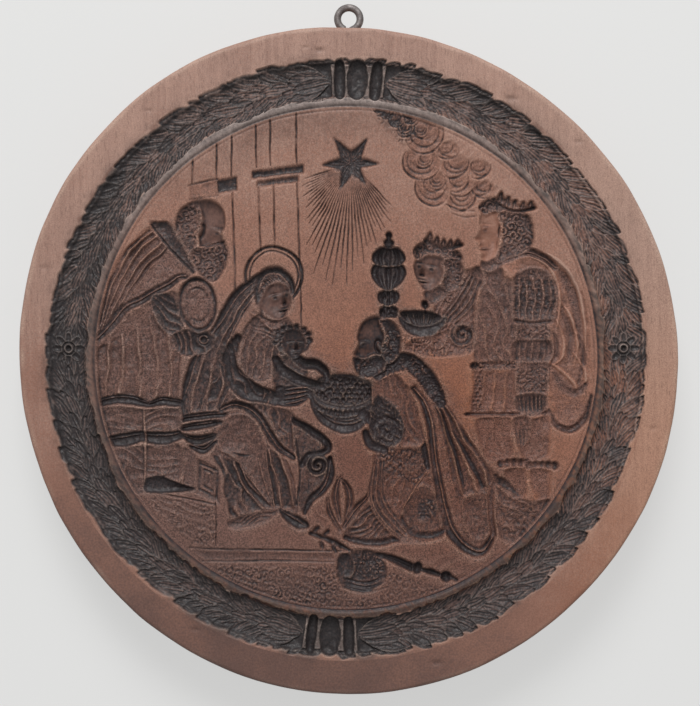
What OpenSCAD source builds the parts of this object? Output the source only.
// Springerle mould: a round board of pear wood with a hollow-carved leaf wreath and picture,
// and a screw eye in its top edge to hang it by.
// The back lies on z = 0, the carved face looks up, and the top of the picture is +Y.

/* [Board] */
// Diameter of the board
board_d = 240; // [200:1:260]
// Thickness of the board
board_t = 26; // [20:0.5:32]
// Rounding of the edge round the carved face
front_edge = 1.6; // [0.6:0.1:3]
// Rounding of the edge round the back
back_edge = 1; // [0.4:0.1:2]
// Plain rim outside the wreath
rim_w = 12.4; // [10:0.2:16]

/* [Wreath] */
// Width of the wreath
wreath_w = 13; // [11:0.5:16]
// Plain band between the wreath and the picture
band_w = 3.4; // [2.6:0.2:5]
// Rows of leaves between a clasp and a rosette
leaf_rows = 18; // [12:1:20]
// Depth of the leaves
leaf_depth = 3.2; // [2.4:0.2:4.6]

/* [Picture] */
// How far the ground of the picture lies below the rim
ground_sink = 0.6; // [0.3:0.1:1]
// Depth of the deepest hollows below the ground
carve_depth = 4; // [3:0.2:5]

/* [Screw eye] */
// Hole through the ring
eye_id = 6; // [5.8:0.1:8]
// Thickness of the wire
wire_d = 2.5; // [2.2:0.1:3]
// Thickness of the screwed shank
shank_d = 2.3; // [1.8:0.1:2.6]
// Length of the shank in the wood, with its point
shank_l = 15; // [12:0.5:20]
// Place of the eye to the right of the middle
eye_x = 1; // [-3:0.5:3]

/* [Hidden] */
$fn = 96;
wood = [0.58, 0.42, 0.34];
steel = [0.47, 0.44, 0.41];
board_r = board_d / 2;
wreath_r = board_r - rim_w - wreath_w / 2;
picture_r = board_r - rim_w - wreath_w - band_w;
// the picture is drawn on a sheet of squares, 250 to its radius, with y down and the middle here
grid_r = 250;
sheet_mid = [346, 358];
grid = picture_r / grid_r;
ground_z = board_t - ground_sink;
ground_slope = 1;
// the wreath's leaves are cut into the bed of a round trough
trough_d = 0.6 * leaf_depth;
root_d = 0.45 * leaf_depth;
half_lanes = 6;
// height of the cuts above the face that they start from
over = 1.2;
edge_steps = 6;
// the eye turns in its hole with this much room round the shank, and stands clear of the edge
turn_gap = 0.05;
seat_gap = 0.3;
point_l = 3;
point_d = 0.6;
ring_r = (eye_id + wire_d) / 2;
ring_y = board_r + seat_gap + ring_r + wire_d / 2;
eye_z = board_t / 2;
// angles of the two clasps and the two rosettes that part the wreath in four
clasp_top = 87.5;
clasp_bottom = 266.5;
rosette_left = 178;
rosette_right = 2;
clasp_half = 5;
clasp_step = 3.8;
rosette_half = 2.6;

function polar(r, a) = [r * cos(a), r * sin(a)];
function arc(x, y, r, from, to) =
    [for (i = [0 : edge_steps]) [x, y] + polar(r, from + (to - from) * i / edge_steps)];
function across(a, b) = [a.y - b.y, b.x - a.x] / norm([b.x - a.x, b.y - a.y]);

// Faces of a closed loft through n rings of m points
function loft_faces(n, m) = [
    [for (k = [m - 1 : -1 : 0]) k],
    [for (k = [0 : m - 1]) (n - 1) * m + k],
    for (i = [0 : n - 2])
        for (k = [0 : m - 1])
            let (a = i * m + k, b = i * m + (k + 1) % m)
            each [[a, b, b + m], [a, b + m, a + m]]
];

// Sweep of a gouge along stations [x, y, half width, depth]: two sides make a V, four a round hollow
module gouge(path, sides = 4) {
    n = len(path);
    m = sides + 3;
    points = [
        for (i = [0 : n - 1])
            let (s = path[i], side = across(path[max(i - 1, 0)], path[min(i + 1, n - 1)]))
            each [
                for (k = [0 : sides])
                    let (t = 180 * k / sides, reach = s[2] * cos(t))
                    [s.x + side.x * reach, s.y + side.y * reach, -s[3] * sin(t)],
                [s.x - side.x * s[2], s.y - side.y * s[2], over],
                [s.x + side.x * s[2], s.y + side.y * s[2], over]
            ]
    ];
    polyhedron(points, loft_faces(n, m));
}

// Chip cut with two slopes from a to b, as wide as 2 w and deepest at the belly
module chip(a, b, w, d, belly = 0.5) {
    mid = a + (b - a) * belly;
    side = across(a, b) * w;
    rim = [a, mid - side, b, mid + side];
    points = concat(
        [for (p = rim) [p.x, p.y, 0]],
        [for (p = rim) [p.x, p.y, over]],
        [[mid.x, mid.y, -d]]
    );
    faces = [
        for (k = [0 : 3])
            let (l = (k + 1) % 4)
            each [[8, k, l], [k, k + 4, l + 4], [k, l + 4, l]],
        [7, 6, 5],
        [7, 5, 4]
    ];
    polyhedron(points, faces);
}

// Cuts of the picture, in squares of the sheet and in parts of the greatest depth
function on_sheet(p) = [p.x - sheet_mid.x, sheet_mid.y - p.y] * grid;
function station(s, d) = concat(on_sheet(s), s[2] * grid, d * carve_depth);
module roll(path, d) gouge([for (s = path) station(s, d)]);
module fold(path, d) gouge([for (s = path) station(s, d)], 2);
module spark(a, b, w, d, belly = 0.5) chip(on_sheet(a), on_sheet(b), w * grid, d * carve_depth, belly);

function oval(x, y, rx, ry, tilt = 0, n = 10) =
    [for (t = [0 : n - 1])
        let (a = 360 * t / n)
        [x, y] + polar(rx * cos(a), tilt) + polar(ry * sin(a), tilt + 90)];
function turn_of(ring, k = 0) =
    k == len(ring) ? 0 : cross(ring[k], ring[(k + 1) % len(ring)]) + turn_of(ring, k + 1);

// Outline moved inwards by w: each corner goes along the middle of its two sides
function inset(ring, w) = let (n = len(ring))
    [for (k = [0 : n - 1])
        let (a = across(ring[(k + n - 1) % n], ring[k]), b = across(ring[k], ring[(k + 1) % n]))
        ring[k] + w * (a + b) / max(1 + a * b, 0.35)];

// Hollow with this outline at the ground, and a flat bed inside a slope of this width
module hollow(outline, d, slope = 5) {
    n = len(outline);
    drawn = [for (p = outline) on_sheet(p)];
    ring = turn_of(drawn) > 0 ? drawn : [for (k = [n - 1 : -1 : 0]) drawn[k]];
    points = concat(
        [for (p = ring) [p.x, p.y, over]],
        [for (p = ring) [p.x, p.y, 0]],
        [for (p = inset(ring, slope * grid)) [p.x, p.y, -d * carve_depth]]
    );
    polyhedron(points, loft_faces(3, n));
}

module pillars() {
    for (line = [[[217, 139], [217, 180]], [[232, 132], [232, 177]], [[256, 121], [257, 166]],
            [[270, 116], [271, 164]], [[296, 110], [297, 162]], [[233, 193], [236, 296]],
            [[259, 187], [261, 248]], [[274, 185], [275, 246]], [[298, 188], [302, 330]]])
        spark(line[0], line[1], 2, 0.18);
    hollow([[217, 181], [238, 177], [238, 191], [218, 194]], 0.33, 3);
    hollow([[252, 172], [304, 165], [304, 174], [252, 180]], 0.33, 3);
    hollow([[257, 181], [299, 175], [299, 183], [257, 188]], 0.3, 3);
}

module star() {
    middle = [350.5, 164];
    hollow([for (k = [0 : 11]) middle + polar(k % 2 == 0 ? 30 : 12.5, 30 * k - 4)], 0.45, 3);
    // fan of rays, the middle ones longest
    first = 46;
    last = 161;
    for (a = [first + 2 : 8 : last]) {
        reach = 52 + 72 * pow(sin(180 * (a - first) / (last - first)), 2);
        spark(middle + polar(30, a), middle + polar(reach, a), 1.6, 0.15, 0.3);
    }
}

module clouds() {
    for (lobe = [[461, 199, 15, 13], [457, 184, 16, 13], [455, 167, 15, 11], [447, 151, 12, 9],
            [482, 190, 12, 9], [479, 170, 12, 9], [432, 189, 18, 18], [421, 164, 19, 17],
            [424, 136, 20, 19], [405, 122, 12, 10], [388, 115, 10, 8]])
        hollow(oval(lobe[0], lobe[1], lobe[2], lobe[3]), 0.22, lobe[3] / 2);
}

module standing_man() {
    hollow([[152, 226], [180, 254], [194, 275], [172, 286], [142, 301], [120, 316], [98, 342], [95, 326],
        [99, 300], [112, 269], [130, 246]], 0.4, 6);
    for (x = [0 : 2])
        fold([[150 + 9 * x, 240 + 8 * x, 2], [125 + 11 * x, 272 + 6 * x, 4],
            [106 + 14 * x, 318 - 5 * x, 2]], 0.52);
    hollow([[118, 318], [150, 303], [176, 292], [184, 330], [180, 401], [150, 404], [96, 405], [95, 380],
        [96, 345]], 0.36, 8);
    for (x = [108 : 15 : 168])
        fold([[x + 3, 330, 2], [x, 366, 4.5], [x - 1, 398, 3]], 0.52);
    hollow([[97, 410], [120, 406], [180, 407], [179, 432], [146, 434], [110, 436]], 0.34, 5);
    hollow([[113, 446], [145, 446], [180, 444], [181, 478], [150, 480], [146, 492], [134, 490],
        [122, 468]], 0.33, 5);
    roll([[96, 404, 3.4], [120, 399, 5], [149, 404, 3]], 0.68);
    roll([[150, 404, 3], [166, 401, 4.6], [181, 403, 3.6]], 0.68);
    roll([[111, 441, 5], [128, 439, 6.6], [142, 436, 5.4]], 0.68);
    roll([[146, 437, 5.4], [162, 438, 6.4], [179, 435, 5]], 0.68);
    hollow([[147, 478], [160, 475], [174, 480], [195, 488], [186, 491], [148, 492]], 0.55, 4);
    roll([[186, 277, 3], [166, 286, 4.6], [126, 308, 5.2], [114, 322, 6], [99, 339, 3]], 0.6);
    hollow([[151, 298], [166, 293], [177, 300], [184, 322], [182, 342], [170, 336], [157, 322]], 0.52, 6);
    hollow([[172, 336], [184, 330], [200, 330], [214, 334], [215, 346], [204, 354], [188, 357],
        [176, 351]], 0.6, 5);
    hollow(oval(198, 304, 18.5, 26, -7), 0.5, 4);
    hollow([[151, 224], [170, 223], [182, 240], [196, 264], [195, 274], [184, 266], [168, 248]], 0.45, 3);
    hollow(oval(203, 228, 19, 28, 14), 0.72, 6);
    hollow([[180, 212], [190, 205], [200, 208], [203, 222], [200, 250], [192, 258], [184, 246],
        [176, 229]], 0.66, 4);
    hollow([[194, 248], [224, 243], [228, 254], [225, 268], [217, 281], [206, 280], [197, 270],
        [190, 258]], 0.68, 5);
}

module seat() {
    hollow([[184, 446], [197, 450], [197, 492], [184, 482]], 0.17, 2);
    hollow([[197, 457], [221, 468], [221, 504], [197, 493]], 0.17, 2);
    hollow([[204, 472], [214, 477], [214, 492], [204, 485]], 0.28, 2);
    hollow([[192, 549], [352, 552], [336, 560], [206, 559]], 0.13, 2);
}

module mother() {
    roll([for (a = [100 : 34 : 440]) concat([274, 276] + polar(27.2, a), 2.2)], 0.26);
    hollow([[262, 272], [250, 283], [238, 292], [218, 332], [200, 352], [189, 376], [182, 418], [222, 412],
        [238, 404], [232, 380], [228, 352], [236, 328], [250, 306]], 0.44, 6);
    roll([[266, 272, 2.4], [237, 296, 5], [216, 331, 4.4], [190, 374, 3.8], [183, 416, 2.6]], 0.6);
    hollow([[222, 412], [246, 405], [264, 417], [284, 470], [299, 506], [290, 515], [268, 509], [246, 520],
        [228, 484], [210, 452], [212, 430]], 0.42, 9);
    hollow([[215, 436], [222, 420], [238, 413], [254, 419], [265, 438], [274, 500], [262, 494], [248, 474],
        [232, 456]], 0.62, 6);
    for (x = [0 : 2])
        fold([[216 + 18 * x, 458 + 6 * x, 2], [234 + 15 * x, 484 + 6 * x, 4], [248 + 14 * x, 508, 2]], 0.6);
    hollow([[228, 522], [244, 514], [280, 508], [272, 518], [252, 526], [234, 528]], 0.3, 3);
    hollow([[279, 508], [292, 512], [306, 520], [309, 527], [298, 529], [286, 521]], 0.52, 3);
    for (path = [[[184, 419, 3.2], [204, 416, 4], [224, 414, 2.6]],
            [[183, 428, 3], [202, 425, 4.2], [220, 422, 2.6]],
            [[185, 437, 2.8], [200, 443, 5.6], [216, 439, 3]]])
        roll(path, 0.6);
    hollow([[256, 316], [276, 314], [292, 322], [296, 346], [284, 366], [272, 378], [246, 380], [236, 356],
        [242, 334]], 0.43, 7);
    roll([[237, 334, 7], [229, 352, 10.5], [229, 370, 12], [240, 385, 12], [258, 393, 10.5],
        [277, 397, 7.5], [297, 393, 6], [306, 389, 3.6]], 0.8);
    hollow([[248, 402], [276, 406], [294, 414], [298, 438], [292, 454], [280, 442], [266, 420]], 0.45, 5);
    roll([[221, 409, 2.6], [247, 407, 4.2], [269, 433, 4.4], [293, 457, 2.4]], 0.7);
    hollow([[293, 420], [310, 430], [329, 444], [322, 456], [331, 470], [328, 486], [314, 498], [304, 514],
        [297, 496], [294, 446]], 0.38, 4);
    roll([[294, 420, 2.6], [312, 431, 4], [328, 445, 3.8]], 0.68);
    hollow(oval(318, 465, 12, 11), 0.6, 4);
    roll([[330, 458, 2.4], [331, 474, 4], [312, 498, 4], [305, 513, 2]], 0.6);
    hollow(oval(275, 298, 17, 21, -8), 0.74, 6);
    roll([[258, 300, 2.4], [258, 286, 3.8], [265, 275, 4.4], [278, 272, 4.6], [289, 280, 3.8],
        [293, 292, 2.2]], 0.64);
}

module child() {
    hollow([[280, 356], [298, 354], [308, 364], [306, 384], [296, 396], [280, 394], [272, 378],
        [273, 364]], 0.6, 5);
    roll([[276, 360, 4.4], [298, 379, 6], [324, 388, 3.4]], 0.82);
    roll([[294, 356, 4.2], [317, 365, 5.2], [327, 379, 3]], 0.82);
    hollow(oval(292, 340, 19, 16, 6), 0.52, 5);
    hollow(oval(294, 344, 12, 15), 0.82, 5);
}

module coin_dish() {
    hollow([[310, 402], [346, 411], [372, 406], [370, 418], [360, 429], [346, 434], [332, 430],
        [318, 420]], 0.52, 5);
    hollow(oval(344, 393, 31, 16, 2, 14), 0.62, 5);
}

module kneeling_king() {
    hollow([[344, 534], [354, 518], [368, 502], [384, 508], [404, 541], [372, 544], [350, 541]], 0.36, 5);
    hollow([[376, 450], [368, 490], [372, 510], [402, 541], [430, 541], [446, 532], [442, 500], [430, 446],
        [404, 436]], 0.42, 9);
    hollow([[402, 508], [412, 492], [424, 484], [438, 498], [445, 522], [438, 536], [412, 536],
        [402, 524]], 0.62, 7);
    fold([[378, 458, 2], [376, 490, 4], [394, 520, 2]], 0.56);
    hollow([[414, 384], [440, 400], [464, 432], [495, 476], [491, 506], [494, 540], [483, 557], [468, 555],
        [450, 536], [442, 506], [430, 436]], 0.44, 9);
    for (x = [0 : 2])
        fold([[440 + 5 * x, 414 + 10 * x, 2], [456 + 8 * x, 446 + 10 * x, 4],
            [464 + 9 * x, 492 - 2 * x, 2]], 0.62);
    hollow([[462, 500], [476, 492], [488, 500], [489, 530], [478, 541], [464, 528]], 0.58, 5);
    roll([[413, 389, 2.8], [430, 422, 4], [437, 474, 4.2], [443, 506, 4.8], [451, 530, 5], [466, 547, 5],
        [482, 551, 4.2], [492, 536, 2.8]], 0.68);
    hollow([[374, 374], [392, 372], [412, 392], [424, 444], [396, 448], [376, 440], [372, 404]], 0.48, 6);
    hollow(oval(386, 424, 18.5, 22, 8), 0.76, 7);
    roll([[388, 424, 10], [374, 420, 7], [362, 414, 5]], 0.72);
    roll([[378, 374, 6.4], [392, 364, 8.4], [408, 362, 9], [422, 373, 9], [432, 388, 8.4],
        [440, 402, 6]], 0.74);
    hollow(oval(376, 343, 20, 26, -4), 0.8, 6);
    hollow([[378, 320], [390, 322], [399, 334], [400, 350], [394, 362], [384, 364]], 0.72, 4);
    hollow([[354, 357], [376, 354], [386, 360], [384, 371], [372, 377], [360, 376], [354, 367]], 0.76, 4);
}

module covered_cup() {
    for (s = [[388.5, 240, 5, 8, 0.6], [388.5, 256, 16, 9, 0.82], [388.5, 274, 17, 13, 0.85],
            [388.5, 298, 11, 7, 0.75], [388.5, 313, 9.5, 7, 0.7]])
        hollow(oval(s[0], s[1], s[2], s[3]), s[4], s[3] / 2);
}

// Low crown on a band from left to right, with five leaves
module crown(left, right, tall, d) {
    rise = [right.y - left.y, left.x - right.x] / norm(right - left) * tall;
    tops = [for (k = [0 : 10]) left + (right - left) * k / 10 + rise * (k % 2 == 1 ? 1 : 0.6)];
    hollow(concat(tops, [right, (left + right) / 2 - rise * 0.3, left]), d, 2);
}

module second_king() {
    hollow([[436, 284], [456, 272], [480, 270], [488, 292], [484, 322], [474, 350], [446, 357], [416, 354],
        [404, 346], [430, 326]], 0.42, 7);
    roll([[478, 273, 7], [469, 294, 10], [456, 311, 10], [444, 321, 6]], 0.62);
    hollow(oval(462, 335, 13.5, 11.5, -10), 0.68, 5);
    hollow([[397, 314], [418, 322], [436, 320], [447, 316], [445, 326], [432, 336], [416, 337],
        [404, 330]], 0.54, 4);
    hollow([[400, 313], [412, 311], [428, 312], [442, 317], [434, 325], [418, 327], [406, 322]], 0.75, 3);
    hollow(oval(425, 305, 4.2, 4.6), 0.65, 2);
    hollow(oval(434, 268, 19, 26, -22), 0.74, 6);
    hollow([[413, 252], [424, 242], [442, 243], [458, 250], [464, 264], [440, 256], [424, 256]], 0.68, 3);
    hollow([[442, 262], [458, 262], [465, 276], [458, 290], [446, 294], [440, 284]], 0.68, 4);
    crown([425, 245], [461, 250], 14, 0.66);
}

module third_king() {
    hollow([[500, 262], [526, 250], [546, 257], [568, 272], [582, 294], [588, 324], [592, 392], [586, 418],
        [570, 430], [552, 424], [543, 404], [540, 372], [544, 336], [540, 300], [520, 280]], 0.45, 9);
    for (x = [0 : 2])
        fold([[554 + 5 * x, 280 + 6 * x, 2], [560 + 10 * x, 326, 4], [558 + 12 * x, 376, 2]], 0.62);
    roll([[554, 374, 2.4], [564, 388, 4.4], [576, 393, 3.8], [585, 384, 2]], 0.58);
    hollow([[478, 290], [500, 276], [520, 290], [522, 330], [518, 362], [476, 364], [474, 326]], 0.4, 8);
    hollow([[475, 366], [514, 364], [544, 366], [545, 414], [468, 416], [472, 390]], 0.42, 6);
    for (x = [482, 494, 506])
        fold([[x, 374, 2], [x, 392, 3.5], [x, 410, 2]], 0.52);
    roll([[473, 366, 3.4], [508, 365, 4], [546, 367, 3.4]], 0.56);
    roll([[466, 414, 2.2], [506, 414, 2.8], [546, 413, 2.2]], 0.58);
    for (x = [494, 531])
        hollow([[x - 17, 414], [x + 17, 414], [x + 19, 436], [x + 16, 456], [x - 1, 461],
            [x - 13, 450]], 0.46, 7);
    for (x = [516, 540]) {
        roll([[x - 16, 462, 3.4], [x, 464, 5], [x + 13, 462, 3.4]], 0.5);
        hollow([[x - 10, 469], [x + 10, 469], [x + 9, 496], [x - 2, 503], [x - 11, 482]], 0.48, 5);
    }
    hollow([[492, 484], [504, 478], [514, 492], [548, 498], [550, 514], [540, 530], [520, 542],
        [500, 538]], 0.33, 6);
    hollow([[519, 322], [546, 322], [548, 360], [545, 396], [516, 396], [516, 356]], 0.53, 6);
    hollow([[515, 395], [543, 394], [544, 411], [532, 414], [517, 412]], 0.6, 4);
    hollow([[514, 416], [528, 416], [531, 430], [527, 442], [520, 448], [512, 426]], 0.58, 4);
    hollow([[514, 276], [530, 268], [548, 272], [557, 290], [556, 310], [550, 322], [516, 322],
        [512, 300]], 0.6, 7);
    roll([[489, 270, 2.8], [511, 256, 4.4], [526, 252, 4.4], [543, 258, 4], [556, 268, 3]], 0.6);
    hollow([[480, 262], [492, 256], [504, 258], [500, 268], [488, 274]], 0.5, 3);
    hollow(oval(501, 229, 23, 30, -2), 0.72, 7);
    hollow([[478, 208], [488, 199], [508, 200], [518, 210], [508, 218], [494, 212]], 0.66, 3);
    hollow([[506, 214], [520, 210], [532, 224], [533, 244], [520, 256], [507, 250]], 0.66, 5);
    crown([496, 204], [533, 211], 16, 0.68);
}

module floor_things() {
    for (path = [[[340, 520, 2], [336, 500, 4], [341, 477, 1]],
            [[346, 520, 2], [350, 500, 4], [339, 479, 1]],
            [[344, 526, 2], [354, 512, 4.4], [368, 493, 1]]])
        roll(path, 0.4);
    roll([[311, 533, 2.2], [326, 538, 3], [352, 551, 1.4]], 0.42);
    hollow([[338, 560], [346, 552], [362, 548], [378, 552], [386, 564], [386, 578], [376, 588], [358, 592],
        [342, 584], [336, 572]], 0.42, 5);
    hollow([[338, 556], [348, 552], [354, 562], [352, 576], [342, 576], [337, 566]], 0.55, 4);
    roll([[378, 554, 2.2], [394, 559, 3.6], [411, 566, 4.2]], 0.6);
    roll([[422, 569, 2], [430, 571, 3.2], [439, 574, 2.2]], 0.56);
    hollow(oval(417, 567, 5, 6, 18), 0.66, 2);
    hollow(oval(446, 576, 5.4, 5.8, 18), 0.66, 2);
}

// Sunk ground of the picture, with a slope round it
module ground() {
    cylinder(
        r1 = picture_r - ground_slope,
        r2 = picture_r + ground_slope * over / ground_sink,
        h = ground_sink + over
    );
}

module picture() {
    ground();
    intersection() {
        translate([0, 0, -board_t / 2])
            cylinder(r = picture_r - ground_slope, h = board_t);
        union() {
            pillars();
            star();
            clouds();
            standing_man();
            seat();
            mother();
            child();
            coin_dish();
            kneeling_king();
            covered_cup();
            second_king();
            third_king();
            floor_things();
        }
    }
}

// Depth at half row s and half lane k of a garland: staggered leaves in a round trough
function leaf_z(s, k) =
    k == 0 || k == half_lanes ? 0
        : k % 2 == 0 ? trough_d
        : (k == half_lanes / 2) == (s % 2 == 0) ? leaf_depth
        : root_d;

// One quarter of the wreath, from a clasp to a rosette, as a loft with three lanes of leaves
module garland(from, to) {
    way = sign(to - from);
    half_rows = 2 * leaf_rows;
    side = way * wreath_w / 2;
    points = [
        for (s = [0 : half_rows])
            let (a = from + (to - from) * s / half_rows)
            each [
                for (k = [0 : half_lanes])
                    concat(polar(wreath_r - side * (1 - 2 * k / half_lanes), a), -leaf_z(s, k)),
                concat(polar(wreath_r + side, a), over),
                concat(polar(wreath_r - side, a), over)
            ]
    ];
    polyhedron(points, loft_faces(half_rows + 1, half_lanes + 3));
}

// Plain stretch of the trough, which a clasp or a rosette lies in, let a little into the garlands beside it
module trough(a, half) {
    side = 0.48 * wreath_w;
    lap = 0.5;
    rotate([0, 0, a - half - lap])
        rotate_extrude(angle = 2 * (half + lap), $fn = 48)
            translate([wreath_r, 0])
                polygon(concat(
                    [for (t = [180 : 36 : 360]) [side * cos(t), trough_d * sin(t)]],
                    [[side, over / 2], [-side, over / 2]]
                ));
}

// Three ribs that bind the wreath, the middle one the widest
module clasp(a) {
    trough(a, clasp_half);
    for (rib = [[-1, 1.7], [0, 4], [1, 1.7]])
        gouge([for (t = [-0.56, -0.32, 0.32, 0.56])
            let (p = polar(wreath_r + t * wreath_w, a + rib[0] * clasp_step))
            [p.x, p.y, rib[1] * (1 - t * t), leaf_depth * (1.15 - 1.6 * t * t)]]);
}

// Berry in a ring of petals
module rosette(a) {
    middle = polar(wreath_r, a);
    trough(a, rosette_half);
    for (t = [0 : 60 : 300])
        chip(middle + polar(1.6, a + t), middle + polar(wreath_w * 0.44, a + t),
            1.7, leaf_depth * 0.8, 0.55);
    gouge([for (t = [-80, -40, 0, 40, 80])
        [middle.x, middle.y + 2.3 * sin(t), 2.3 * cos(t), leaf_depth * cos(t)]]);
}

module wreath() {
    for (side = [-1, 1]) {
        rosette_at = side > 0 ? rosette_right : rosette_left;
        bottom = side > 0 ? clasp_bottom - 360 : clasp_bottom;
        garland(clasp_top - side * clasp_half, rosette_at + side * rosette_half);
        garland(bottom + side * clasp_half, rosette_at - side * rosette_half);
        rosette(rosette_at);
    }
    clasp(clasp_top);
    clasp(clasp_bottom);
}

// Turned disc with both edges rounded
module blank() {
    rotate_extrude()
        polygon(concat(
            [[0, 0]],
            arc(board_r - back_edge, back_edge, back_edge, -90, 0),
            arc(board_r - front_edge, board_t - front_edge, front_edge, 0, 90),
            [[0, board_t]]
        ));
}

// Blind hole that the eye is screwed into, with its pointed end
module eye_hole() {
    translate([eye_x, board_r + over, eye_z])
        rotate([90, 0, 0]) {
            cylinder(d = shank_d + 2 * turn_gap, h = shank_l - point_l + over + seat_gap);
            translate([0, 0, shank_l - point_l + over + seat_gap])
                cylinder(d1 = shank_d + 2 * turn_gap, d2 = point_d, h = point_l);
        }
}

module mould_board() {
    color(wood)
        difference() {
            blank();
            resize([0, 0, 0])
                union() {
                    translate([0, 0, ground_z]) picture();
                    translate([0, 0, board_t]) wreath();
                }
            eye_hole();
        }
}

// Wire ring that lies in the plane of the board, on a shank with a gimlet point
module screw_eye() {
    color(steel)
        union() {
            translate([eye_x, ring_y, eye_z])
                rotate_extrude()
                    translate([ring_r, 0])
                        circle(d = wire_d);
            translate([eye_x, ring_y - ring_r, eye_z])
                rotate([90, 0, 0]) {
                    cylinder(d = shank_d, h = ring_y - ring_r - board_r + shank_l - point_l);
                    translate([0, 0, ring_y - ring_r - board_r + shank_l - point_l])
                        cylinder(d1 = shank_d, d2 = point_d, h = point_l);
                }
        }
}

mould_board();
screw_eye();
